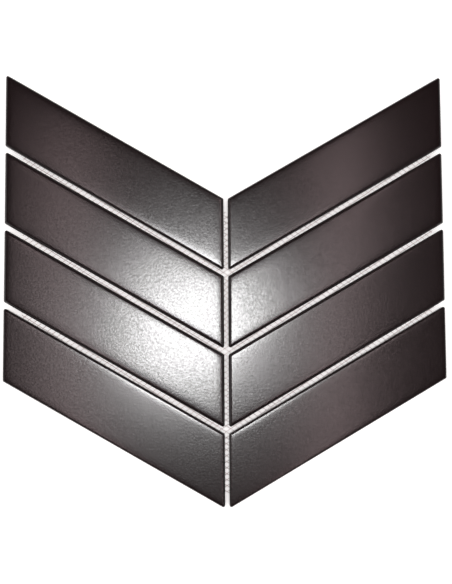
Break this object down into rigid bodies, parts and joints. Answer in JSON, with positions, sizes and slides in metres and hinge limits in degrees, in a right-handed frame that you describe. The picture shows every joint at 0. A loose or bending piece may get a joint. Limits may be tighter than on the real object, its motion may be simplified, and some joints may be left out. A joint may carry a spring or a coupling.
{
  "type": "chevron wall tile sheet",
  "caption": "Sheet of dark satin glazed chevron wall tile: slanted porcelain chips in mirrored columns, open joints, on a backing net.",
  "frame": {"origin": "middle of the sheet's width and length, on the bedding side, level with the underside of the net", "axes": "+Z from the bedding side out through the glazed faces; +Y up the wall, towards the open notch of the chevron; +X to the right, seen from the glazed side"},
  "size_m": [0.2798, 0.2734, 0.0064],
  "materials": {
    "glaze": "satin",
    "net": "matte"
  },
  "bodies": {
    "root": {"backing_mesh": "net", "tile_left_1": "glaze", "tile_left_2": "glaze", "tile_left_3": "glaze", "tile_left_4": "glaze", "tile_right_1": "glaze", "tile_right_2": "glaze", "tile_right_3": "glaze", "tile_right_4": "glaze"}
  },
  "joints": []
}
